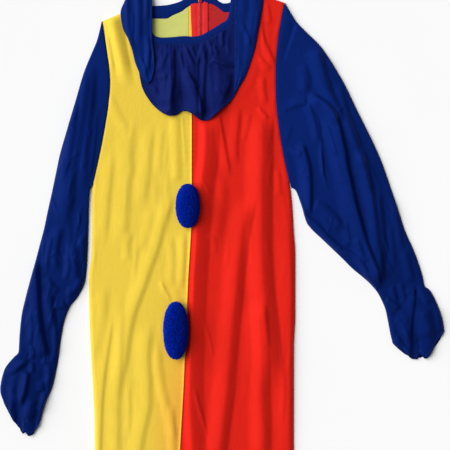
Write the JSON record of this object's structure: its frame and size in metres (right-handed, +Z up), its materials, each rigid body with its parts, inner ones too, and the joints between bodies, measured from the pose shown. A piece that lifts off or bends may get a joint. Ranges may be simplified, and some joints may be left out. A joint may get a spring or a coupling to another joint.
{
  "type": "clown jumpsuit",
  "caption": "One-piece clown jumpsuit laid flat: split-colour front and back, gathered-wrist sleeves, neck band with ruffle, back zip and yarn pompoms.",
  "frame": {"origin": "on the floor under the middle of the chest, on the underside of the back panels", "axes": "+X to the right of the laid garment (red half), +Y from the leg hems towards the neck, +Z up from the floor through the back to the front"},
  "size_m": [0.891, 1.5901, 0.0445],
  "materials": {
    "yellow_satin": "thin polyester with a soft sheen",
    "red_satin": "thin polyester with a soft sheen",
    "blue_satin": "thin polyester with a soft sheen",
    "blue_yarn": "matt cut pile",
    "zip_tape": "woven tape, matt",
    "zip_slider": "glossy enamel"
  },
  "bodies": {
    "root": {"front_yellow": "yellow_satin", "back_yellow": "yellow_satin", "front_red": "red_satin", "back_red": "red_satin", "sleeve_left": "blue_satin", "sleeve_right": "blue_satin", "neck_band_front": "blue_satin", "neck_band_back_left": "blue_satin", "neck_band_back_right": "blue_satin", "collar_ruffle_front": "blue_satin", "ruffle_turn_left": "blue_satin", "ruffle_turn_right": "blue_satin", "pompom_upper": "blue_yarn", "pompom_lower": "blue_yarn", "back_zip": "zip_tape", "zip_slider": "zip_slider"}
  },
  "joints": []
}
